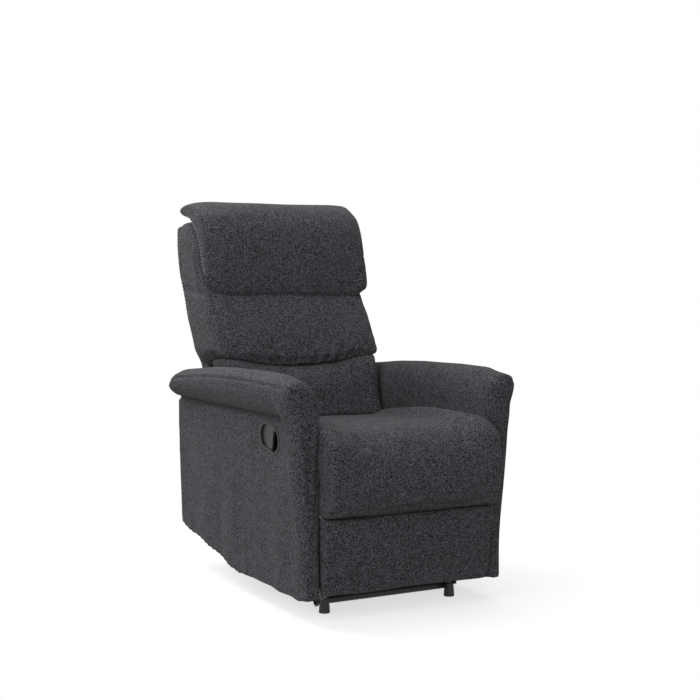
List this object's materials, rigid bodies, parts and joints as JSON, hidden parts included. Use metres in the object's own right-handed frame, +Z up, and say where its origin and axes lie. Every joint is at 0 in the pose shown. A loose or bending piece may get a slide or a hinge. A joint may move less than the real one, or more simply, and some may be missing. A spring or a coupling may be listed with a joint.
{
  "type": "recliner armchair",
  "caption": "Push-back recliner armchair with flared arms, a draped headrest pillow, a lumbar-seamed back, a folding footrest and a release handle in one arm.",
  "frame": {"origin": "on the floor under the middle of the chair's width and depth", "axes": "+Z up, the sitter faces -Y, +X towards the sitter's left"},
  "size_m": [0.68, 1.0168, 1.06],
  "materials": {
    "woven_fabric": "matte mottled weave",
    "frame_wood": "raw",
    "black_steel": "satin",
    "zinc_steel": "satin",
    "spring_steel": "oiled",
    "black_plastic": "moulded",
    "cable_sleeve": "smooth"
  },
  "bodies": {
    "base": {"foot_front_left": "black_plastic", "foot_front_right": "black_plastic", "foot_rear_left": "black_plastic", "foot_rear_right": "black_plastic", "foot_bolts": "zinc_steel", "base_rail_left": "black_steel", "base_rail_right": "black_steel", "front_cross_tube": "black_steel", "rear_cross_tube": "black_steel", "tilt_pivot_pins": "zinc_steel"},
    "seat_box": {"arm_bolts": "zinc_steel", "arm_frame_left": "frame_wood", "arm_frame_right": "frame_wood", "arm_front_panel_left": "woven_fabric", "arm_front_panel_right": "woven_fabric", "arm_inner_panel_left": "woven_fabric", "arm_inner_panel_right": "woven_fabric", "arm_outer_panel_left": "woven_fabric", "arm_outer_panel_right": "woven_fabric", "arm_pad_left": "woven_fabric", "arm_pad_right": "woven_fabric", "back_pivot_pins": "zinc_steel", "lever_pin": "zinc_steel", "rear_apron": "woven_fabric", "release_cable": "cable_sleeve", "release_cup": "black_plastic", "seat_cushion": "woven_fabric", "seat_rail_front": "frame_wood", "seat_rail_left": "frame_wood", "seat_rail_rear": "frame_wood", "seat_rail_right": "frame_wood", "seat_springs": "spring_steel", "side_plate_left": "black_steel", "side_plate_right": "black_steel", "upper_link_pins": "zinc_steel"},
    "back": {"back_post_left": "frame_wood", "back_post_right": "frame_wood", "back_bracket_left": "black_steel", "back_bracket_right": "black_steel", "back_bracket_bolts": "zinc_steel", "back_rails": "frame_wood", "back_springs": "spring_steel", "back_rear_cover": "woven_fabric", "back_side_pad_left": "woven_fabric", "back_side_pad_right": "woven_fabric", "back_cushion_lower": "woven_fabric", "back_cushion_upper": "woven_fabric", "headrest_pillow": "woven_fabric"},
    "upper_links": {"upper_link_left": "black_steel", "upper_link_right": "black_steel", "link_cross_rod": "black_steel", "knee_pins": "zinc_steel"},
    "lower_links": {"lower_link_left": "black_steel", "lower_link_right": "black_steel", "footrest_pins": "zinc_steel"},
    "footrest": {"footrest_bracket_left": "black_steel", "footrest_bracket_right": "black_steel", "footrest_board": "frame_wood", "footrest_pad": "woven_fabric"},
    "release_lever": {"release_lever": "black_plastic"}
  },
  "joints": [
    {"name": "seat_tilt", "type": "hinge", "parent": "base", "child": "seat_box", "pos_m": [0, -0.07337, 0.12], "axis": [-1, 0, 0], "range_deg": [0, 6]},
    {"name": "back_recline", "type": "hinge", "parent": "seat_box", "child": "back", "pos_m": [0, 0.20163, 0.285], "axis": [-1, 0, 0], "range_deg": [0, 25]},
    {"name": "footrest_extend", "type": "hinge", "parent": "seat_box", "child": "upper_links", "pos_m": [0, -0.36337, 0.235], "axis": [-1, 0, 0], "range_deg": [0, 152]},
    {"name": "lower_link_fold", "type": "hinge", "parent": "upper_links", "child": "lower_links", "pos_m": [0, -0.21614, 0.15], "axis": [-1, 0, 0], "range_deg": [-138, 0]},
    {"name": "footrest_turn", "type": "hinge", "parent": "lower_links", "child": "footrest", "pos_m": [0, -0.37485, 0.21092], "axis": [-1, 0, 0], "range_deg": [0, 76]},
    {"name": "release_pull", "type": "hinge", "parent": "seat_box", "child": "release_lever", "pos_m": [-0.2855, -0.19571, 0.449], "axis": [0, 0.2079, -0.9781], "range_deg": [0, 35], "stiffness_Nm_per_rad": 0.15, "springref_deg": -11.46}
  ],
  "couplings": [
    {"joint": "seat_tilt", "follows": "back_recline", "ratio": 0.24},
    {"joint": "lower_link_fold", "follows": "footrest_extend", "ratio": -0.9079},
    {"joint": "footrest_turn", "follows": "footrest_extend", "ratio": 0.5}
  ]
}
